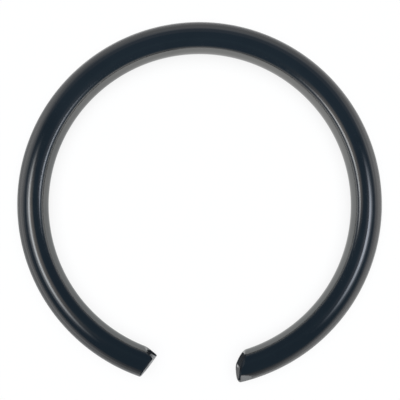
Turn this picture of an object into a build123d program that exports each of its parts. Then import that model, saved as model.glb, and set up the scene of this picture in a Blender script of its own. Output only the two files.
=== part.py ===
from build123d import *
from math import asin, cos, degrees, radians, sin
import os

# A round-wire snap ring: one length of spring-steel wire coiled into an open circle and
# sheared off at both ends. The origin is on the ring's axis, halfway up the wire. +Z is
# the ring's axis and the gap is centred on -Y. The ring lies flat, as it comes to rest.

# Driving dimensions, in millimetres and degrees
WIRE_DIAMETER = 2.0
INSIDE_DIAMETER = 20.2  # free diameter across the inside of the wire
TIP_GAP = 5.4  # straight distance between the two wire tips
SPARE_ARC = 4.0  # wire coiled past each tip, which the shear then takes off

# The pinched end, on the gap's -X side: the blade pushed through from the outside, which
# left a slanted face, and a bevel where the wire tore off against the inside.
PINCHED_SLANT = 0.62  # how far the face runs back from the tip at the wire's outside
PINCHED_TIP_HEIGHT = 0.30  # how far in from the wire's inside the tip stands
PINCHED_BEVEL_LENGTH = 0.74  # how far back the bevel runs along the wire's inside
PINCHED_LEAN = 6.5  # lean of the face, so that its upper edge is set back

# The rounded end, on the gap's +X side: the wire rolled over the blade at its inside
ROLLED_CUT_SET_BACK = 0.13  # where the roll-over would meet the face if it were sharp
ROLLED_CUT_RADIUS_SHARE = 0.25  # how far inside the centreline that is, in wire radii
ROLLED_OVER_LENGTH = 0.76  # how far back the roll-over runs along the wire's inside
ROLL_RADIUS = 1.1  # blend between the roll-over and the face
ROLLED_LEAN = 3.0  # lean of this face, so that its upper edge is set back

# A flat that the tool pressed on the rounded end's outer shoulder
FLAT_ELEVATION = 41.0  # how far the flat's normal stands above the ring's plane
FLAT_DEPTH = 0.085  # how deep it cuts into the round wire at the end
FLAT_TAPER = 7.0  # slope along the wire, so that it runs out behind the end

EDGE_BREAK = 0.08  # round on the sheared edges

# Sizes that follow
WIRE_RADIUS = WIRE_DIAMETER / 2
COIL_RADIUS = (INSIDE_DIAMETER + WIRE_DIAMETER) / 2  # ring axis to the wire's centreline
TIP_ANGLE = degrees(asin(TIP_GAP / 2 / COIL_RADIUS))  # half the gap, seen from the axis
ACROSS = 0.65 * WIRE_DIAMETER  # how far the shearing tools reach each way across the wire
ALONG = 2 * WIRE_DIAMETER  # how far they reach into the gap, and above and below the wire
ENDS_LINE = -0.8 * COIL_RADIUS  # every edge of the two ends lies on the gap's side of this Y


def coiled_wire():
    """The round wire, bent to its circle, a little too long at both ends."""
    section = Plane.XZ * Pos(COIL_RADIUS, 0) * Circle(WIRE_RADIUS)
    start = -90 + TIP_ANGLE - SPARE_ARC
    arc = 360 - 2 * (TIP_ANGLE - SPARE_ARC)
    coil = revolve(section, axis=Axis.Z, revolution_arc=arc)
    return Rot(0, 0, start) * coil


def end_plane(angle, up):
    """The plane of the ring at one tip: its x points outward, its y into the gap."""
    outward = Vector(cos(radians(angle)), sin(radians(angle)), 0)
    return Plane(origin=outward * COIL_RADIUS, x_dir=outward, z_dir=(0, 0, up))


def shear(outline):
    """What the blade takes off, from the end's outline out into the gap."""
    inner_edge, outer_edge = outline[0], outline[-1]
    corners = [*outline, (outer_edge[0], ALONG), (inner_edge[0], ALONG)]
    return make_face(Polyline(*corners, close=True))


def at_reach(start, through, reach):
    """The point at x = reach on the straight line from start through another point."""
    slope = (through[1] - start[1]) / (through[0] - start[0])
    return (reach, start[1] + slope * (reach - start[0]))


def pinched_end_cut():
    """The slanted face and the bevel of the end on the gap's -X side."""
    tip = (PINCHED_TIP_HEIGHT - WIRE_RADIUS, 0)
    inside = (-WIRE_RADIUS, -PINCHED_BEVEL_LENGTH)
    outside = (WIRE_RADIUS, -PINCHED_SLANT)
    outline = [at_reach(tip, inside, -ACROSS), tip, at_reach(tip, outside, ACROSS)]
    blade = extrude(shear(outline), amount=ALONG, both=True)
    return end_plane(-90 - TIP_ANGLE, 1) * Rot(PINCHED_LEAN, 0, 0) * blade


def rolled_end_cut():
    """The nearly square face and the roll-over of the end on the gap's +X side."""
    meeting = (-ROLLED_CUT_RADIUS_SHARE * WIRE_RADIUS, -ROLLED_CUT_SET_BACK)
    inside = (-WIRE_RADIUS, -ROLLED_OVER_LENGTH)
    outside = (WIRE_RADIUS, 0)
    ends = at_reach(meeting, inside, -ACROSS), at_reach(meeting, outside, ACROSS)
    outline = [ends[0], meeting, ends[1]]
    face = shear(outline)
    roll = face.vertices().sort_by_distance((*meeting, 0))[0]
    blade = extrude(fillet(roll, ROLL_RADIUS), amount=ALONG, both=True)
    return end_plane(-90 + TIP_ANGLE, -1) * Rot(-ROLLED_LEAN, 0, 0) * blade


def pressed_flat():
    """What the flat on the rounded end's outer shoulder takes off the wire."""
    end = end_plane(-90 + TIP_ANGLE, -1)
    outward = end.x_dir * cos(radians(FLAT_ELEVATION))
    upward = Vector(0, 0, 1) * sin(radians(FLAT_ELEVATION))
    shoulder = outward + upward
    normal = shoulder * cos(radians(FLAT_TAPER)) + end.y_dir * sin(radians(FLAT_TAPER))
    foot = end.origin + shoulder * (WIRE_RADIUS - FLAT_DEPTH)
    block = Box(ALONG, ALONG, ALONG, align=(Align.CENTER, Align.CENTER, Align.MIN))
    return Plane(origin=foot, z_dir=normal) * block


def snap_ring():
    """The finished ring, with the edges of both sheared ends just broken."""
    ring = coiled_wire() - pinched_end_cut() - rolled_end_cut() - pressed_flat()
    sheared = [edge for edge in ring.edges() if (edge @ 0.5).Y < ENDS_LINE]
    return fillet(sheared, EDGE_BREAK)


os.makedirs("parts", exist_ok=True)
ring = snap_ring()
export_step(ring, "parts/snap_ring.step")
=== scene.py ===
"""The looks of a round-wire snap ring: its blued wire, its sheared ends and its studio."""

import logging
from dataclasses import dataclass, field
from enum import Enum
from math import asin, atan2, cos, hypot, pi, radians, sin, tan
from typing import Union

import bmesh
import bpy
from mathutils import Matrix, Vector


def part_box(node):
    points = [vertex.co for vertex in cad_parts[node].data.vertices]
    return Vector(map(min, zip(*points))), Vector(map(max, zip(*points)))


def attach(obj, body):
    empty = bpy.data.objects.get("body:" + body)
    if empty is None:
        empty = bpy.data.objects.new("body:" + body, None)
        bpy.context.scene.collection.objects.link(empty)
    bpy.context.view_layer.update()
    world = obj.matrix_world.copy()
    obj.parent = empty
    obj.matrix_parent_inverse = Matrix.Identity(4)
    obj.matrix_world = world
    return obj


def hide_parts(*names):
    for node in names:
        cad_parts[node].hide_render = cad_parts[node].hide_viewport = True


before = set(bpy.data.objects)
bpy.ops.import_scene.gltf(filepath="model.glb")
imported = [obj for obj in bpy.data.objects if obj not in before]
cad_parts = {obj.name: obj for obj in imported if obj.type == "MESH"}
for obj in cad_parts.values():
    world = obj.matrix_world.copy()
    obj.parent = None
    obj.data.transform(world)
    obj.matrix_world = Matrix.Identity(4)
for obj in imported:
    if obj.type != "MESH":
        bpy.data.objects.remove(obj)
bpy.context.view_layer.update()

log = logging.getLogger("snap_ring")

Colour = tuple[float, float, float]
Value = Union["Socket", float]

WHITE: Colour = (1.0, 1.0, 1.0)
MM = 0.001


def opaque(colour: Colour) -> tuple[float, float, float, float]:
    """The colour with a full alpha, as Blender's colour sockets take it."""
    return (*colour, 1.0)


# --- Shader maths ---------------------------------------------------------------------


class Socket:
    """One output socket of a node tree, which adds Math nodes when it is reckoned with."""

    def __init__(self, tree: "Shader", link: bpy.types.NodeSocket) -> None:
        """Wraps an output.

        Args:
            tree: the shader that the socket belongs to.
            link: the output socket itself.
        """
        self.tree = tree
        self.link = link

    def _math(self, operation: str, *values: Value) -> "Socket":
        """One Math node over the values given."""
        inputs = dict(enumerate(values))
        return self.tree.node("ShaderNodeMath", inputs, operation=operation)

    def __add__(self, other: Value) -> "Socket":
        """self + other."""
        return self._math("ADD", self, other)

    __radd__ = __add__

    def __sub__(self, other: Value) -> "Socket":
        """self - other."""
        return self._math("SUBTRACT", self, other)

    def __rsub__(self, other: Value) -> "Socket":
        """other - self."""
        return self._math("SUBTRACT", other, self)

    def __mul__(self, other: Value) -> "Socket":
        """self * other."""
        return self._math("MULTIPLY", self, other)

    __rmul__ = __mul__

    def maximum(self, other: Value) -> "Socket":
        """The larger of the two."""
        return self._math("MAXIMUM", self, other)

    def __abs__(self) -> "Socket":
        """The size of this value, whatever its sign."""
        return self._math("ABSOLUTE", self)

    def cosine(self) -> "Socket":
        """The cosine of this angle."""
        return self._math("COSINE", self)

    def angle_to(self, other: Value) -> "Socket":
        """The angle, in radians, of the direction (other, self)."""
        return self._math("ARCTAN2", self, other)

    def step(self, low: float, high: float) -> "Socket":
        """0 below low, 1 above high, and smooth between.

        Args:
            low: where the step starts.
            high: where it is complete.

        Returns:
            The smooth step of this value.
        """
        inputs = {"Value": self, "From Min": low, "From Max": high}
        return self.tree.node(
            "ShaderNodeMapRange", inputs, output="Result", interpolation_type="SMOOTHSTEP"
        )

    def step_at(self, middle: float, softness: float) -> "Socket":
        """0 well below middle and 1 well above it, over softness each way."""
        return self.step(middle - softness, middle + softness)


@dataclass(frozen=True)
class Grain:
    """A fractal noise, and the levels between which it is stepped into patches."""

    scale: float  # grains to a unit of the coordinates
    detail: float
    roughness: float
    low: float = 0.35
    high: float = 0.65


class Shader:
    """The node tree of one material or of the world, written to from empty."""

    def __init__(self, tree: bpy.types.NodeTree) -> None:
        """Empties the tree.

        Args:
            tree: the node tree to write to.
        """
        self.tree = tree
        tree.nodes.clear()

    def node(
        self,
        kind: str,
        inputs: dict[Union[str, int], object] | None = None,
        output: Union[str, int] = 0,
        **settings: object,
    ) -> Socket:
        """Adds one node.

        Args:
            kind: Blender's name for the type of node.
            inputs: a value or a Socket for each input, by its name or number.
            output: the output that is handed back.
            **settings: the node's own properties, which are set before its inputs.

        Returns:
            The wrapped output.
        """
        made = self.tree.nodes.new(kind)
        for name, value in settings.items():
            setattr(made, name, value)
        for name, value in (inputs or {}).items():
            if isinstance(value, Socket):
                self.tree.links.new(value.link, made.inputs[name])
            else:
                made.inputs[name].default_value = value
        has_output = len(made.outputs) > 0
        return Socket(self, made.outputs[output] if has_output else made.inputs[0])

    def ramp(self, factor: Socket, stops: dict[float, Colour]) -> Socket:
        """A colour ramp.

        Args:
            factor: where on the ramp to read, from 0 to 1.
            stops: the colour at each place.

        Returns:
            The ramp's colour.
        """
        colour = self.node("ShaderNodeValToRGB", {"Fac": factor})
        elements = colour.link.node.color_ramp.elements
        for place in list(stops)[len(elements):]:
            elements.new(place)
        for element, (place, shade) in zip(elements, sorted(stops.items())):
            element.position = place
            element.color = opaque(shade)
        return colour

    def mix(self, factor: Value, first: object, second: object) -> Socket:
        """Mixes two colours.

        Args:
            factor: the share of the second colour.
            first: a colour or a Socket.
            second: a colour or a Socket.

        Returns:
            The mixed colour.
        """
        made = self.tree.nodes.new("ShaderNodeMix")
        made.data_type = "RGBA"
        colours = [place for place in made.inputs if place.type == "RGBA"]
        for place, value in zip([made.inputs[0], *colours], [factor, first, second]):
            if isinstance(value, Socket):
                self.tree.links.new(value.link, place)
            else:
                place.default_value = opaque(value) if isinstance(value, tuple) else value
        result = [place for place in made.outputs if place.type == "RGBA"][0]
        return Socket(self, result)

    def place(self) -> Socket:
        """The Object coordinates."""
        return self.node("ShaderNodeTexCoord", output="Object")

    def axes(self, vector: Socket) -> tuple[Socket, Socket, Socket]:
        """The three parts of a vector."""
        split = self.node("ShaderNodeSeparateXYZ", {"Vector": vector}).link.node.outputs
        return Socket(self, split["X"]), Socket(self, split["Y"]), Socket(self, split["Z"])

    def vector(self, operation: str, first: Socket, second: Vector | None = None) -> Socket:
        """One Vector Math node.

        Args:
            operation: Blender's name for the operation.
            first: the vector that it is done to.
            second: the vector that it is done with, if it takes one.

        Returns:
            The vector, or the number if the operation is LENGTH.
        """
        inputs = {0: first} if second is None else {0: first, 1: second}
        output = "Value" if operation == "LENGTH" else "Vector"
        return self.node("ShaderNodeVectorMath", inputs, output, operation=operation)

    def length(self, x: Socket, y: Socket) -> Socket:
        """The length of a flat vector."""
        return self.vector("LENGTH", self.node("ShaderNodeCombineXYZ", {"X": x, "Y": y}))

    def noise(self, vector: Socket, grain: Grain) -> Socket:
        """Fractal noise over a vector.

        Args:
            vector: where it is read.
            grain: how fine and how rough it is.

        Returns:
            The noise, about 0.5 on the whole.
        """
        inputs = {
            "Vector": vector,
            "Scale": grain.scale,
            "Detail": grain.detail,
            "Roughness": grain.roughness,
        }
        return self.node("ShaderNodeTexNoise", inputs)

    def patches(self, vector: Socket, grain: Grain) -> Socket:
        """Fractal noise over a vector, stepped between the grain's two levels."""
        return self.noise(vector, grain).step(grain.low, grain.high)

    def bump(self, height: Socket, distance: float, strength: float = 1.0) -> Socket:
        """The normal of a surface with fine relief.

        Args:
            height: the relief, from 0 to 1.
            distance: how deep the relief is, in metres.
            strength: the share of it that is used.

        Returns:
            The normal.
        """
        inputs = {"Height": height, "Distance": distance, "Strength": strength}
        return self.node("ShaderNodeBump", inputs, output="Normal")

    def rays(self, *kinds: str) -> list[Socket]:
        """For each kind of ray, 1 where the surface is seen by that kind, and else 0."""
        outputs = self.node("ShaderNodeLightPath").link.node.outputs
        return [Socket(self, outputs[f"Is {kind} Ray"]) for kind in kinds]

    def show(
        self,
        kind: str,
        inputs: dict[Union[str, int], object],
        output: str = "ShaderNodeOutputMaterial",
    ) -> None:
        """Adds the last shading node and shows it.

        Args:
            kind: Blender's name for the type of shading node.
            inputs: a value or a Socket for each of its inputs.
            output: Blender's name for the type of output node.
        """
        self.node(output, {"Surface": self.node(kind, inputs)})


def blank(name: str) -> tuple[bpy.types.Material, Shader]:
    """Makes an empty material.

    Args:
        name: the material's name.

    Returns:
        The material and its shader.
    """
    made = bpy.data.materials.new(name)
    made.use_nodes = True
    return made, Shader(made.node_tree)


# --- Finishes -------------------------------------------------------------------------


@dataclass(frozen=True)
class BluedSteel:
    """Drawn spring wire, blued: smooth and nearly black, with fine lines along the wire.

    The outside of the coil is duller and greyer, where the coiling pins rubbed it.
    """

    coil_radius: float
    name: str = "blued_steel"
    cool: Colour = (0.172, 0.177, 0.178)
    plain: Colour = (0.186, 0.190, 0.190)
    light: Colour = (0.222, 0.222, 0.219)
    clouds: Grain = Grain(240.0, 4.0, 0.6)
    drift: float = 0.28  # how strongly the tone follows the way round the ring
    lighter_side: float = radians(80.0)  # where on the ring the colour is lightest
    coolest: float = 0.15  # the tone at which the colour is cool
    lightest: float = 0.85

    rubbed: Colour = (0.150, 0.151, 0.153)
    scored: Colour = (0.095, 0.097, 0.100)
    scored_at: float = 0.35  # the height of the lines at which they are darkest
    rubbed_at: float = 0.65
    rubbed_from: float = 1.08  # angle round the section, up or down from the outside
    rubbed_to: float = 1.26

    roughness: float = 0.10
    rubbed_roughness: float = 0.22
    line_roughness: float = 0.04
    rubbed_line_roughness: float = 0.14
    grime: Grain = Grain(1900.0, 3.0, 0.6, low=0.45, high=0.75)
    grime_roughness: float = 0.04

    line_height: float = 0.0035 * MM
    rubbed_deepening: float = 2.0
    lines_across: float = 9.0  # lines to a radian round the section
    lines_along: float = 40.0  # changes to a metre along the wire
    broad_lines: Grain = Grain(1.0, 2.0, 0.5)
    fine_lines: Grain = Grain(4.0, 3.0, 0.6)
    broad_share: float = 0.6

    def material(self) -> bpy.types.Material:
        """Makes the finish, patterned along and round the wire.

        Returns:
            The material.
        """
        made, shader = blank(self.name)
        place = shader.place()
        turned, across = self._wire_coordinates(shader, place)
        lines = self._die_lines(shader, turned * self.coil_radius, across)
        rubbed = 1.0 - abs(across).step(self.rubbed_from, self.rubbed_to)
        grime = shader.patches(place, self.grime)
        smooth = self.roughness + self.line_roughness * lines + self.grime_roughness * grime
        duller = self.rubbed_roughness - self.roughness
        dull = duller + self.rubbed_line_roughness * (lines - 0.5)
        shader.show(
            "ShaderNodeBsdfPrincipled",
            {
                "Base Color": self._colour(shader, place, turned, rubbed, lines),
                "Roughness": smooth + rubbed * dull,
                "Metallic": 1.0,
                "Normal": shader.bump(
                    lines * (1.0 + self.rubbed_deepening * rubbed), self.line_height
                ),
            },
        )
        return made

    def _colour(
        self, shader: Shader, place: Socket, turned: Socket, rubbed: Socket, lines: Socket
    ) -> Socket:
        """The colour, which is lighter towards one side of the ring and varies in faint
        clouds.

        Args:
            shader: the shader that is written to.
            place: the Object coordinates.
            turned: the angle round the ring.
            rubbed: how rubbed the surface is, from 0 to 1.
            lines: the die's lines, from 0 to 1.

        Returns:
            The colour.
        """
        side = (turned - self.lighter_side).cosine() * self.drift
        clouds = shader.noise(place, self.clouds)
        tone = (clouds + side).step(self.coolest, self.lightest)
        blued = shader.ramp(tone, {0.0: self.cool, 0.5: self.plain, 1.0: self.light})
        worn = shader.mix(
            lines.step(self.scored_at, self.rubbed_at), self.scored, self.rubbed
        )
        return shader.mix(rubbed, blued, worn)

    def _wire_coordinates(self, shader: Shader, place: Socket) -> tuple[Socket, Socket]:
        """The angle round the ring and the angle round the wire's section, from a place.

        Args:
            shader: the shader that is written to.
            place: the Object coordinates.

        Returns:
            Both angles in radians. The second is 0 at the outside of the ring.
        """
        x, y, z = shader.axes(place)
        out = shader.length(x, y) - self.coil_radius
        return y.angle_to(x), z.angle_to(out)

    def _die_lines(self, shader: Shader, along: Socket, across: Socket) -> Socket:
        """The fine lines that the drawing die leaves along the wire, 0 to 1.

        Args:
            shader: the shader that is written to.
            along: the distance along the wire in metres.
            across: the angle round the wire in radians.

        Returns:
            The height of the lines.
        """
        drawn = shader.node(
            "ShaderNodeCombineXYZ",
            {"X": across * self.lines_across, "Y": along * self.lines_along},
        )
        broad = shader.noise(drawn, self.broad_lines)
        fine = shader.noise(drawn, self.fine_lines)
        return self.broad_share * broad + (1.0 - self.broad_share) * fine


@dataclass(frozen=True)
class ShearedSteel:
    """The torn faces that the shear leaves across the wire.

    The pinched end's face is bare in patches. The rolled end's is burnt dark, but for one
    painted glint: a pale streak painted where a highlight falls.
    """

    painted_glint: Vector
    name: str = "sheared_steel"
    bright: Colour = (0.46, 0.47, 0.48)
    dull: Colour = (0.050, 0.056, 0.062)
    burnt: Colour = (0.018, 0.020, 0.023)
    scorched: Colour = (0.050, 0.051, 0.054)
    # painted glint: the pale colour of a highlight painted on the rolled end's face
    painted_glint_colour: Colour = (0.58, 0.58, 0.57)
    bare: Grain = Grain(1300.0, 2.0, 0.5, low=0.40, high=0.65)
    bare_metal: float = 0.65
    roughness: float = 0.42
    shine: float = 0.1
    changeover: float = 1.0 * MM  # each way from the gap's middle, from end to end

    tears: Grain = Grain(2600.0, 4.0, 0.6)
    tear_height: float = 0.02 * MM
    tear_strength: float = 0.6

    # the painted glint's size and ragged edge
    painted_glint_width: float = 0.13 * MM
    painted_glint_height: float = 0.46 * MM
    painted_glint_raggedness: float = 0.7
    painted_glint_fades_from: float = 0.35  # out from its middle, as a share of its size

    def material(self) -> bpy.types.Material:
        """Makes the finish, torn by noise on Object coordinates.

        Returns:
            The material.
        """
        made, shader = blank(self.name)
        place = shader.place()
        tears = shader.noise(place, self.tears)
        bare = shader.patches(place, self.bare)
        rolled = shader.axes(place)[0].step_at(0.0, self.changeover)
        # painted glint: a pale, more metallic streak painted where a highlight falls on the
        # rolled end's face
        ragged = self._from_painted_glint(shader, place) + (tears - 0.5) * self.painted_glint_raggedness
        painted_glint = 1.0 - ragged.step(self.painted_glint_fades_from, 1.0)
        torn = shader.mix(bare, self.dull, self.bright)
        scaled = shader.mix(bare, self.burnt, self.scorched)
        face = shader.mix(rolled, torn, scaled)
        shader.show(
            "ShaderNodeBsdfPrincipled",
            {
                "Base Color": shader.mix(painted_glint, face, self.painted_glint_colour),
                "Roughness": self.roughness,
                "Metallic": (1.0 - rolled).maximum(painted_glint) * self.bare_metal,
                "Specular IOR Level": self.shine,
                "Normal": shader.bump(tears, self.tear_height, self.tear_strength),
            },
        )
        return made

    def _from_painted_glint(self, shader: Shader, place: Socket) -> Socket:
        """How far a place is from the middle of the painted glint.

        Args:
            shader: the shader that is written to.
            place: the Object coordinates.

        Returns:
            The distance, which is 1 at the painted glint's edge.
        """
        offset = shader.vector("SUBTRACT", place, self.painted_glint)
        sizes = Vector((self.painted_glint_width, self.painted_glint_width, self.painted_glint_height))
        scaled = shader.vector("DIVIDE", offset, sizes)
        return shader.vector("LENGTH", scaled)


@dataclass(frozen=True)
class BurntEdge:
    """The dull black scale along the sheared edges."""

    name: str = "burnt_edge"
    pale: Colour = (0.024, 0.029, 0.035)
    deep: Colour = (0.008, 0.010, 0.013)
    scale: Grain = Grain(2200.0, 3.0, 0.5)
    roughness: float = 0.5
    shine: float = 0.008

    def material(self) -> bpy.types.Material:
        """Makes the finish, a little uneven by noise on Object coordinates.

        Returns:
            The material.
        """
        made, shader = blank(self.name)
        scale = shader.patches(shader.place(), self.scale)
        shader.show(
            "ShaderNodeBsdfPrincipled",
            {
                "Base Color": shader.mix(scale, self.deep, self.pale),
                "Roughness": self.roughness,
                "Metallic": 0.0,
                "Specular IOR Level": self.shine,
            },
        )
        return made


@dataclass(frozen=True)
class PressedSteel:
    """The small flat that the tool pressed and polished on the wire."""

    name: str = "pressed_steel"
    colour: Colour = (0.21, 0.215, 0.22)
    unevenness: Grain = Grain(3000.0, 3.0, 0.5)
    smoothest: float = 0.22
    roughest: float = 0.34

    def material(self) -> bpy.types.Material:
        """Makes the finish, unevenly smooth by noise on Object coordinates.

        Returns:
            The material.
        """
        made, shader = blank(self.name)
        uneven = shader.patches(shader.place(), self.unevenness)
        rough = self.smoothest + uneven * (self.roughest - self.smoothest)
        shader.show(
            "ShaderNodeBsdfPrincipled",
            {"Base Color": opaque(self.colour), "Roughness": rough, "Metallic": 1.0},
        )
        return made


@dataclass(frozen=True)
class FloorPaper:
    """The plain pale paper of the floor, which the camera sees as white.

    Polished metal mirrors it a little dimmer, most of all to the ring's left, and as white
    only well behind the middle.
    """

    name: str = "floor_paper"
    colour: Colour = (0.90, 0.90, 0.90)
    shown_share: float = 0.85  # the rest of what is seen is lit, and so takes the shadow
    mirrored_dim: Colour = (0.66, 0.67, 0.67)
    mirrored_bright: Colour = (0.92, 0.92, 0.91)
    fall_off: float = 12.0 * MM  # from the middle to where the mirrored paper is dimmest
    behind_from: float = 7.5 * MM  # back from the middle, where it starts to turn white
    behind_by: float = 11.0 * MM

    def material(self) -> bpy.types.Material:
        """Makes the paper, lit by the lamp, and mostly plain to camera and glossy rays.

        Returns:
            The material.
        """
        made, shader = blank(self.name)
        camera, glossy, through = shader.rays("Camera", "Glossy", "Transmission")
        x, y, _ = shader.axes(shader.place())
        sideways = x.step_at(0.0, self.fall_off)
        beside = shader.mix(sideways, self.mirrored_dim, self.mirrored_bright)
        mirrored = shader.mix(y.step(self.behind_from, self.behind_by), beside, WHITE)
        lit = shader.node(
            "ShaderNodeBsdfDiffuse", {"Color": opaque(self.colour), "Roughness": 1.0}
        )
        plain = shader.node(
            "ShaderNodeEmission",
            {"Color": shader.mix(glossy, WHITE, mirrored), "Strength": 1.0},
        )
        seen = camera.maximum(glossy).maximum(through) * self.shown_share
        shader.show("ShaderNodeMixShader", {0: seen, 1: lit, 2: plain})
        return made


@dataclass(frozen=True)
class TentCloth:
    """The low cloth round the ring, bright at its foot and fading to the dark above.

    It is bright to the ring's left and right, and dimmer behind the ring and before the gap.
    """

    name: str = "tent_cloth"
    bright_to: float = 1.5 * MM
    fades_by: float = 8.0 * MM
    behind: Colour = (0.66, 0.67, 0.68)
    around: Colour = (0.95, 0.95, 0.95)
    before: Colour = (0.35, 0.36, 0.37)
    top: Colour = (0.10, 0.13, 0.17)
    behind_fades: float = 0.60  # how far up it is bright behind the ring, as a share
    behind_from: float = radians(25.0)  # azimuths, from the left or right
    behind_by: float = radians(60.0)
    before_from: float = radians(-70.0)
    before_by: float = radians(-30.0)

    def material(self) -> bpy.types.Material:
        """Makes the cloth, which glows by its height and azimuth.

        Returns:
            The material.
        """
        made, shader = blank(self.name)
        x, y, z = shader.axes(shader.place())
        azimuth = y.angle_to(abs(x))
        past_front = azimuth.step(self.before_from, self.before_by)
        behind = azimuth.step(self.behind_from, self.behind_by)
        front = shader.mix(past_front, self.before, self.around)
        foot = shader.mix(behind, front, self.behind)
        height = z * (1.0 + behind * (1.0 / self.behind_fades - 1.0))
        glow = shader.mix(height.step(self.bright_to, self.fades_by), foot, self.top)
        shader.show("ShaderNodeEmission", {"Color": glow, "Strength": 1.0})
        return made


@dataclass(frozen=True)
class RingLight:
    """Two curved light bars over the ring's left and right, each with soft edges."""

    name: str = "light_bars"
    left: Colour = (2.42, 2.46, 2.54)
    right: Colour = (1.88, 2.00, 2.26)
    left_glare: Colour = (0.62, 0.58, 0.55)
    right_glare: Colour = (0.20, 0.23, 0.28)
    dark: Colour = (0.060, 0.096, 0.138)
    changeover: float = 1.0 * MM  # each way from the middle, from left to right
    first: float = radians(-38.0)  # the bars' ends, as azimuths from the left or right
    first_softness: float = radians(17.0)
    right_shorter: float = radians(13.0)
    last: float = radians(13.5)
    last_softness: float = radians(11.0)
    middle: float = 13.8 * MM
    half_width: float = 1.0 * MM
    edge_softness: float = 0.5 * MM
    outer_spill: float = 0.30
    outer_reach: float = 3.0 * MM
    inner_reach: float = 10.5 * MM

    def material(self) -> bpy.types.Material:
        """Makes the bars, which glow by their radius and azimuth.

        Returns:
            The material.
        """
        made, shader = blank(self.name)
        x, y, _ = shader.axes(shader.place())
        rightward = x.step_at(0.0, self.changeover)
        sector = self._sector(y.angle_to(abs(x)), rightward)
        radius = shader.length(x, y)
        inner = self.middle - self.half_width
        outer = self.middle + self.half_width
        inside = radius.step_at(inner, self.edge_softness)
        beyond = radius.step_at(outer, self.edge_softness)
        to_outer = 1.0 - radius.step(outer, outer + self.outer_reach)
        to_inner = radius.step(inner - self.inner_reach, inner)
        bar = inside * (1.0 - beyond)
        spill = beyond * to_outer * self.outer_spill
        glare = shader.mix(rightward, self.left_glare, self.right_glare)
        side = shader.mix(rightward, self.left, self.right)
        dim = shader.mix((1.0 - beyond) * to_inner * sector, self.dark, glare)
        glow = shader.mix((bar + spill) * sector, dim, side)
        shader.show("ShaderNodeEmission", {"Color": glow, "Strength": 1.0})
        return made

    def _sector(self, azimuth: Socket, rightward: Socket) -> Socket:
        """The stretch round the ring that the bars fill, from 0 to 1.

        Args:
            azimuth: the azimuth from the left or right.
            rightward: 0 on the left and 1 on the right.

        Returns:
            How much of the bars' light there is.
        """
        begun = azimuth - rightward * self.right_shorter
        started = begun.step_at(self.first, self.first_softness)
        ended = azimuth.step_at(self.last, self.last_softness)
        return (started - ended).maximum(0.0)


# --- The ring -------------------------------------------------------------------------


class Finish(Enum):
    """The slots of the ring's finishes."""

    BLUED = 0
    SHEARED = 1
    BURNT = 2
    PRESSED = 3


class Side(Enum):
    """Which side of the gap an end of the wire is on."""

    PINCHED = -1
    ROLLED = 1


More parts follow.
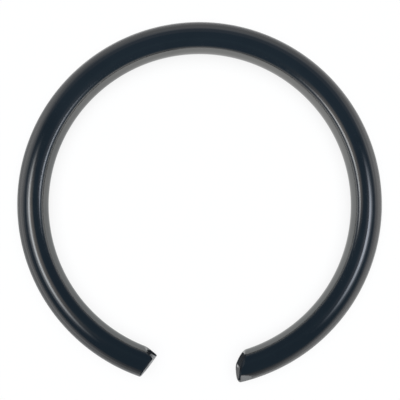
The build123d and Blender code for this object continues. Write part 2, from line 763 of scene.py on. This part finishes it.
@dataclass
class SnapRing:
    """The ring: a round wire coiled to an open circle, with two sheared ends.

    The gap is centred on -Y. Lengths are in metres. At each end, across is measured
    outward from the wire's centreline and back along the wire from its tip, both in
    wire radii.
    """

    low: Vector
    high: Vector
    tip_gap: float = 5.4 * MM
    section_sides: int = 112
    turns_per_circle: int = 480
    gather: float = 2.4  # length of wire, in wire radii, that an end's shape is spread over
    edge_steps: int = 7
    edge_blend: float = 0.35  # width, in wire radii, over which an edge's radius changes

    pinched_tip: tuple[float, float] = (-0.60, 0.10)  # across, and back, of the tip's line
    pinched_outside: float = 0.62  # how far back the face is at the wire's outside
    pinched_inside: float = 0.74  # how far back the bevel is at the wire's inside
    pinched_lean: float = radians(6.5)
    pinched_edge: float = 0.10  # radius of the face's edges, in wire radii

    rolled_outside: float = -0.02  # how far back the face is at the wire's outside
    rolled_meeting: tuple[float, float] = (-0.14, 0.17)  # where a sharp roll would start
    rolled_inside: float = 0.76  # how far back the roll is at the wire's inside
    rolled_lean: float = radians(3.0)
    roll_reach: float = 0.50  # how far each way from the meeting the roll is blended
    rolled_edge: float = 0.11  # radius of the face's edges, in wire radii
    outside_edge: float = 0.19  # radius of the edge at its outermost corner
    inside_edge: float = 0.25  # radius of the edges of the bevel and of the roll
    scaled: tuple[float, float] = (-0.8, 0.78)  # across which the edges' dark scale lies
    painted_glint: tuple[float, float, float] = (-0.06, 0.16, -0.05)  # across, back and height of the painted glint's middle on the rolled end

    flat_elevation: float = radians(41.0)  # of the way that the flat faces
    flat_depth: float = 0.115  # at the wire's end, in wire radii
    flat_taper: float = radians(5.5)  # slope along the wire, so that it runs out
    flat_reach: float = 2.0  # how far from the end, in wire radii, the flat may lie

    pair_digits: int = 3  # decimals to which two places across the wire have to agree

    wire_radius: float = field(init=False)
    coil_radius: float = field(init=False)
    tip_angle: float = field(init=False)

    def __post_init__(self) -> None:
        """Works out the wire and its coil from the box that the ring fills."""
        self.wire_radius = (self.high.z - self.low.z) / 2
        self.coil_radius = (self.high.x - self.low.x) / 2 - self.wire_radius
        self.tip_angle = asin(self.tip_gap / 2 / self.coil_radius)

    def build(self) -> bpy.types.Object:
        """Builds the whole wire as one closed mesh.

        Returns:
            The ring's object, in the ring's own frame.
        """
        mesh = bmesh.new()
        ends = self._coil(mesh)
        self._press_flat(mesh)
        for side, loop in ends.items():
            self._gather(mesh, side)
            self._close(mesh, side, loop)
        bmesh.ops.recalc_face_normals(mesh, faces=mesh.faces)
        data = bpy.data.meshes.new("wire")
        mesh.to_mesh(data)
        mesh.free()
        piece = bpy.data.objects.new("wire", data)
        bpy.context.scene.collection.objects.link(piece)
        return piece

    def dress(self, piece: bpy.types.Object) -> None:
        """Gives the wire its four finishes, one to a slot.

        Args:
            piece: the ring's object.
        """
        finishes = {
            Finish.BLUED: BluedSteel(self.coil_radius),
            # the sheared faces, with the painted glint on the rolled end's face
            Finish.SHEARED: ShearedSteel(self._from_end(Side.ROLLED, *self.painted_glint)),
            Finish.BURNT: BurntEdge(),
            Finish.PRESSED: PressedSteel(),
        }
        for slot in Finish:
            piece.data.materials.append(finishes[slot].material())

    def _coil(self, mesh: bmesh.types.BMesh) -> dict[Side, list[bmesh.types.BMVert]]:
        """Spins the wire's section round the ring, from the rolled tip to the pinched one.

        Args:
            mesh: the empty mesh to build in.

        Returns:
            The section's vertices at each end of the wire.
        """
        stand_up = Matrix.Rotation(pi / 2, 4, "X")
        out = Matrix.Translation((self.coil_radius, 0.0, 0.0))
        start = Matrix.Rotation(-pi / 2 + self.tip_angle, 4, "Z")
        section = bmesh.ops.create_circle(
            mesh,
            segments=self.section_sides,
            radius=self.wire_radius,
            matrix=start @ out @ stand_up,
        )["verts"]
        arc = 2 * pi - 2 * self.tip_angle
        steps = round(self.turns_per_circle * arc / (2 * pi))
        spun = bmesh.ops.spin(
            mesh,
            geom=list(mesh.edges),
            cent=(0.0, 0.0, 0.0),
            axis=(0.0, 0.0, 1.0),
            angle=arc,
            steps=steps,
            use_merge=False,
            use_duplicate=False,
        )["geom_last"]
        for face in mesh.faces:
            face.smooth = True
        last = _only(bmesh.types.BMVert, spun)
        return {Side.ROLLED: section, Side.PINCHED: last}

    def _at_end(self, side: Side, place: Vector) -> tuple[float, float, float]:
        """Where a place is, as an end of the wire sees it.

        Args:
            side: the end.
            place: the place, in the ring's frame.

        Returns:
            Across, back along the wire from the tip's line, and height, in wire radii.
        """
        reach = hypot(place.x, place.y)
        turned = (atan2(place.y, place.x) + pi / 2) % (2 * pi)
        if turned > pi:
            turned -= 2 * pi
        back = (turned * side.value - self.tip_angle) * reach
        across = reach - self.coil_radius
        return across / self.wire_radius, back / self.wire_radius, place.z / self.wire_radius

    def _from_end(self, side: Side, across: float, back: float, height: float) -> Vector:
        """The place in the ring's frame of a place that an end of the wire sees.

        Args:
            side: the end.
            across: outward from the wire's centreline, in wire radii.
            back: along the wire from the tip's line, in wire radii.
            height: above the ring's middle plane, in wire radii.

        Returns:
            The place in the ring's frame.
        """
        reach = self.coil_radius + across * self.wire_radius
        turned = side.value * (self.tip_angle + back * self.wire_radius / reach) - pi / 2
        return Vector((reach * cos(turned), reach * sin(turned), height * self.wire_radius))

    def _set_back(self, side: Side, across: float, height: float) -> float:
        """How far behind the tip's line an end's face stands.

        Args:
            side: the end.
            across: outward from the wire's centreline, in wire radii.
            height: above the ring's middle plane, in wire radii.

        Returns:
            The distance back along the wire, in wire radii.
        """
        if side is Side.PINCHED:
            tip, start = self.pinched_tip
            slant = (self.pinched_outside - start) / (1 - tip)
            bevel = (self.pinched_inside - start) / (1 + tip)
            behind = max(slant * (across - tip), bevel * (tip - across))
            return start + behind + height * tan(self.pinched_lean)
        meeting, start = self.rolled_meeting
        flat = (start - self.rolled_outside) / (1 - meeting)
        steep = (self.rolled_inside - start) / (1 + meeting)
        square = self.rolled_outside + flat * (1 - across)
        rolled = self._blended(meeting - across, steep - flat)
        return square + rolled + height * tan(self.rolled_lean)

    def _blended(self, over: float, slope: float) -> float:
        """A slope that sets in over a length instead of at a corner.

        Args:
            over: how far past the corner, in wire radii.
            slope: the slope well past it.

        Returns:
            The rise above the line before the corner.
        """
        if over <= -self.roll_reach:
            return 0.0
        if over >= self.roll_reach:
            return slope * over
        return slope * (over + self.roll_reach) ** 2 / (4 * self.roll_reach)

    def _press_flat(self, mesh: bmesh.types.BMesh) -> None:
        """Presses the small flat on the rolled end's outer shoulder.

        Args:
            mesh: the ring's mesh, before its ends are shaped.
        """
        turned = self.tip_angle - pi / 2
        outward = Vector((cos(turned), sin(turned), 0.0))
        into_gap = Vector((sin(turned), -cos(turned), 0.0))
        upward = Vector((0.0, 0.0, 1.0))
        shoulder = outward * cos(self.flat_elevation) + upward * sin(self.flat_elevation)
        normal = shoulder * cos(self.flat_taper) + into_gap * sin(self.flat_taper)
        foot = outward * self.coil_radius + shoulder * self.wire_radius * (1 - self.flat_depth)
        pressed = set()
        for vertex in mesh.verts:
            if (vertex.co - foot).length > self.flat_reach * self.wire_radius:
                continue
            proud = (vertex.co - foot).dot(normal)
            if proud > 0:
                vertex.co -= shoulder * proud / shoulder.dot(normal)
                pressed.add(vertex)
        for face in mesh.faces:
            if pressed.issuperset(face.verts):
                face.material_index = Finish.PRESSED.value

    def _gather(self, mesh: bmesh.types.BMesh, side: Side) -> None:
        """Draws the last stretch of the wire back, so that its end has the sheared shape.

        Args:
            mesh: the ring's mesh.
            side: the end.
        """
        for vertex in mesh.verts:
            across, back, height = self._at_end(side, vertex.co)
            if abs(back) > self.gather:
                continue
            full = self._set_back(side, across, height) + self._edge(side, across)
            moved = full + back * (1 - full / self.gather)
            vertex.co = self._from_end(side, across, moved, height)

    def _corner(self, side: Side) -> float:
        """Where across the wire an end's face meets its bevel or its roll."""
        return (self.pinched_tip if side is Side.PINCHED else self.rolled_meeting)[0]

    def _edge(self, side: Side, across: float) -> float:
        """The radius of an end's edge, in wire radii.

        Args:
            side: the end.
            across: outward from the wire's centreline, in wire radii.

        Returns:
            The radius. It changes over edge_blend at the face's corner, and just inside
            the wire's outside.
        """
        face = self.pinched_edge
        if side is Side.ROLLED:
            outside = _smooth((across - 1) / self.edge_blend + 1)
            face = self.rolled_edge + (self.outside_edge - self.rolled_edge) * outside
        inside = _smooth((self._corner(side) - across) / self.edge_blend + 0.5)
        return face + (self.inside_edge - face) * inside

    def _close(
        self, mesh: bmesh.types.BMesh, side: Side, loop: list[bmesh.types.BMVert]
    ) -> None:
        """Rounds the end's rim and closes its face.

        Args:
            mesh: the ring's mesh.
            side: the end.
            loop: the vertices round the open end.
        """
        near = set(loop)
        edges = [e for v in loop for e in v.link_edges if e.other_vert(v) in near]
        edges = list(dict.fromkeys(edges))
        start = [self._at_end(side, vertex.co) for vertex in loop]
        for step in range(1, self.edge_steps + 1):
            grown = bmesh.ops.extrude_edge_only(mesh, edges=edges)["geom"]
            rim = _only(bmesh.types.BMVert, grown)
            self._round_in(side, rim, start, step / self.edge_steps * pi / 2)
            edges = [
                edge
                for edge in _only(bmesh.types.BMEdge, grown)
                if edge.verts[0] in rim and edge.verts[1] in rim
            ]
            for face in _only(bmesh.types.BMFace, grown):
                face.smooth = True
                self._finish(side, face, self.scaled, (Finish.BURNT, Finish.BLUED))
        face = bmesh.ops.contextual_create(mesh, geom=edges)["faces"][0]
        self._strips(mesh, side, face)

    def _round_in(
        self,
        side: Side,
        rim: list[bmesh.types.BMVert],
        start: list[tuple[float, float, float]],
        turn: float,
    ) -> None:
        """Puts a ring of new vertices where a rounded edge has turned by an angle.

        Args:
            side: the end.
            rim: the new vertices.
            start: where the rim's vertices were, as the end sees it, before the edge.
            turn: the angle, from 0 to a right angle.
        """
        for vertex in rim:
            across, back, height = self._nearest(start, side, vertex)
            edge = self._edge(side, across)
            shrink = 1 - edge * (1 - cos(turn)) / hypot(across, height)
            vertex.co = self._from_end(
                side, across * shrink, back - edge * sin(turn), height * shrink
            )

    def _finish(
        self,
        side: Side,
        face: bmesh.types.BMFace,
        span: tuple[float, float],
        pair: tuple[Finish, Finish],
    ) -> None:
        """Gives a face at an end its finish, by where across the wire it is.

        Args:
            side: the end.
            face: the face.
            span: two places across the wire.
            pair: the finish between the two places, and the finish elsewhere.
        """
        across = self._at_end(side, face.calc_center_median())[0]
        between = span[0] < across < span[1]
        face.material_index = pair[0 if between else 1].value

    def _nearest(
        self,
        start: list[tuple[float, float, float]],
        side: Side,
        vertex: bmesh.types.BMVert,
    ) -> tuple[float, float, float]:
        """The place that is at a vertex's own angle round the section.

        Args:
            start: the places to choose from, as the end sees them.
            side: the end.
            vertex: the vertex.

        Returns:
            The place in start that is nearest in angle.
        """
        across, _, height = self._at_end(side, vertex.co)
        angle = atan2(height, across)
        return min(start, key=lambda seen: abs(_turn_between(atan2(seen[2], seen[0]), angle)))

    def _strips(
        self, mesh: bmesh.types.BMesh, side: Side, face: bmesh.types.BMFace
    ) -> None:
        """Cuts an end's face into upright strips, which follow its slant, bevel or roll.

        Args:
            mesh: the ring's mesh.
            side: the end.
            face: the end's face.
        """
        cap = {face}
        corners: dict[float, list[bmesh.types.BMVert]] = {}
        for edge in face.edges:
            edge.smooth = False
        for vertex in face.verts:
            across = round(self._at_end(side, vertex.co)[0], self.pair_digits)
            corners.setdefault(across, []).append(vertex)
        for pair in corners.values():
            if len(pair) == 2:
                cut = bmesh.ops.connect_verts(mesh, verts=pair)["edges"]
                cap.update(part for edge in cut for part in edge.link_faces)
        beyond_corner = (self._corner(side), 1.0)
        for part in cap:
            part.smooth = True
            self._finish(side, part, beyond_corner, (Finish.SHEARED, Finish.BURNT))


def _only(kind: type, items: list) -> list:
    """The items of an operator's result that are of one type."""
    return [item for item in items if isinstance(item, kind)]


def _smooth(share: float) -> float:
    """A share held between 0 and 1, which eases in and out."""
    held = min(max(share, 0.0), 1.0)
    return held * held * (3 - 2 * held)


def _turn_between(first: float, second: float) -> float:
    """The turn from one angle to another, from -pi to pi."""
    return (first - second + pi) % (2 * pi) - pi


# --- The studio -----------------------------------------------------------------------


@dataclass
class Viewpoint:
    """The camera, nearly straight above the ring. Lengths are in coil radii."""

    height: float = 3.3
    towards_gap: float = 0.30
    aside: float = -0.0483
    lens: float = 49.47  # in millimetres, as the sensor is
    sensor: float = 36.0
    rise: float = 0.14  # of the picture, as a share of the sensor
    tilt: float = radians(0.108)
    lean: float = radians(0.802)
    roll: float = radians(2.0)
    nearest: float = 0.001  # in metres
    farthest: float = 10.0

    def place(self, coil_radius: float) -> None:
        """Makes the camera and gives it to the scene.

        Args:
            coil_radius: the radius of the wire's centreline, in metres.
        """
        data = bpy.data.cameras.new("camera")
        data.lens = self.lens
        data.sensor_width = self.sensor
        data.shift_y = self.rise
        data.clip_start = self.nearest
        data.clip_end = self.farthest
        camera = bpy.data.objects.new("camera", data)
        bpy.context.scene.collection.objects.link(camera)
        turn = Matrix.Rotation(self.roll, 4, "Z")
        spot = Vector((self.aside, -self.towards_gap, self.height)) * coil_radius
        aim = Matrix.Rotation(-self.tilt, 4, "X") @ Matrix.Rotation(-self.lean, 4, "Y")
        camera.matrix_world = turn @ Matrix.Translation(spot) @ aim
        bpy.context.scene.camera = camera


@dataclass
class SoftLamp:
    """The wide square lamp above the ring, which metal doesn't mirror. In metres."""

    name: str = "floor_light"
    distance: float = 0.60
    lean: float = radians(1.0)  # from straight above, away from the gap
    width: float = 0.80
    radiance: float = 2.9

    def place(self) -> None:
        """Makes the lamp, which the camera doesn't see."""
        data = bpy.data.lights.new(self.name, "AREA")
        data.shape = "SQUARE"
        data.size = self.width
        data.energy = self.radiance * pi * self.width**2
        lamp = bpy.data.objects.new(self.name, data)
        up = Vector((0.0, sin(self.lean), cos(self.lean)))
        lamp.location = up * self.distance
        lamp.rotation_mode = "QUATERNION"
        lamp.rotation_quaternion = (-up).to_track_quat("-Z", "Y")
        lamp.visible_camera = False
        lamp.visible_glossy = False
        bpy.context.scene.collection.objects.link(lamp)


@dataclass
class Studio:
    """The pale floor, the soft lamp, and the tent and light bars that the metal mirrors."""

    floor_height: float
    coil_radius: float
    floor_radius: float = 0.30
    tent_radius: float = 19.3 * MM
    tent_top: float = 9.0 * MM
    tent_forward: float = 4.0 * MM
    bars_low: tuple[float, float] = (17.8 * MM, 8.8 * MM)  # radius and height
    bars_high: tuple[float, float] = (3.8 * MM, 22.8 * MM)
    bars_leftward: float = 0.2 * MM
    sky_low: Colour = (0.060, 0.090, 0.120)
    sky_high: Colour = (0.064, 0.104, 0.147)
    facets: int = 96

    def build(self) -> None:
        """Makes everything round the ring."""
        self._floor()
        self._tent()
        self._light_bars()
        self._sky()
        SoftLamp().place()
        Viewpoint().place(self.coil_radius)

    def _stage(
        self, name: str, mesh: bmesh.types.BMesh, finish: bpy.types.Material
    ) -> bpy.types.Object:
        """Makes a piece of the studio from a mesh.

        Args:
            name: the piece's name.
            mesh: its mesh, which is freed.
            finish: its material.

        Returns:
            The piece.
        """
        data = bpy.data.meshes.new(name)
        mesh.to_mesh(data)
        mesh.free()
        data.materials.append(finish)
        piece = bpy.data.objects.new(name, data)
        bpy.context.scene.collection.objects.link(piece)
        return piece

    def _only_mirrored(self, piece: bpy.types.Object) -> None:
        """Lets nothing but polished surfaces see a piece of the studio.

        Args:
            piece: the piece.
        """
        piece.visible_camera = False
        piece.visible_diffuse = False
        piece.visible_shadow = False

    def _hoop(self, low: tuple[float, float], high: tuple[float, float]) -> bmesh.types.BMesh:
        """A band round the ring's axis between two circles.

        Args:
            low: the first circle's radius and height.
            high: the second circle's radius and height.

        Returns:
            The band's mesh.
        """
        mesh = bmesh.new()
        circle = bmesh.ops.create_circle(mesh, segments=self.facets, radius=low[0])["verts"]
        bmesh.ops.translate(mesh, verts=circle, vec=(0.0, 0.0, low[1]))
        grown = bmesh.ops.extrude_edge_only(mesh, edges=list(mesh.edges))["geom"]
        moved = _only(bmesh.types.BMVert, grown)
        wider = high[0] / low[0]
        bmesh.ops.scale(mesh, verts=moved, vec=(wider, wider, 1.0))
        bmesh.ops.translate(mesh, verts=moved, vec=(0.0, 0.0, high[1] - low[1]))
        return mesh

    def _floor(self) -> None:
        """The round floor that the ring lies on."""
        mesh = bmesh.new()
        bmesh.ops.create_circle(
            mesh,
            cap_ends=True,
            segments=self.facets,
            radius=self.floor_radius,
            matrix=Matrix.Translation((0.0, 0.0, self.floor_height)),
        )
        self._stage("floor", mesh, FloorPaper().material())

    def _tent(self) -> None:
        """The low cloth that stands round the ring."""
        foot = (self.tent_radius, self.floor_height)
        mesh = self._hoop(foot, (self.tent_radius, self.tent_top))
        tent = self._stage("tent", mesh, TentCloth().material())
        tent.location.y = -self.tent_forward
        self._only_mirrored(tent)

    def _light_bars(self) -> None:
        """The band over the ring that carries the two light bars."""
        mesh = self._hoop(self.bars_low, self.bars_high)
        bars = self._stage("light_bars", mesh, RingLight().material())
        bars.location.x = -self.bars_leftward
        self._only_mirrored(bars)

    def _sky(self) -> None:
        """The dim air above, which the camera sees as a plain white background."""
        world = bpy.data.worlds.new("studio")
        bpy.context.scene.world = world
        world.use_nodes = True
        shader = Shader(world.node_tree)
        height = shader.axes(shader.node("ShaderNodeTexCoord", output="Generated"))[2]
        air = shader.mix(height.step(0.0, 1.0), self.sky_low, self.sky_high)
        seen = shader.mix(shader.rays("Camera")[0], air, WHITE)
        background = {"Color": seen, "Strength": 1.0}
        shader.show("ShaderNodeBackground", background, "ShaderNodeOutputWorld")


# --- Making it ------------------------------------------------------------------------


def plain_view() -> None:
    """Shows colours as they are written."""
    bpy.context.scene.view_settings.view_transform = "Standard"


def main() -> None:
    """Builds the ring, then its studio."""
    logging.basicConfig(level=logging.INFO, format="%(message)s")
    low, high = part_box("snap_ring")
    ring = SnapRing(low, high)
    wire = ring.build()
    ring.dress(wire)
    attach(wire, "root")
    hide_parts("snap_ring")
    log.info("wire: %d faces", len(wire.data.polygons))
    Studio(low.z, ring.coil_radius).build()
    plain_view()


if __name__ == "__main__":
    main()
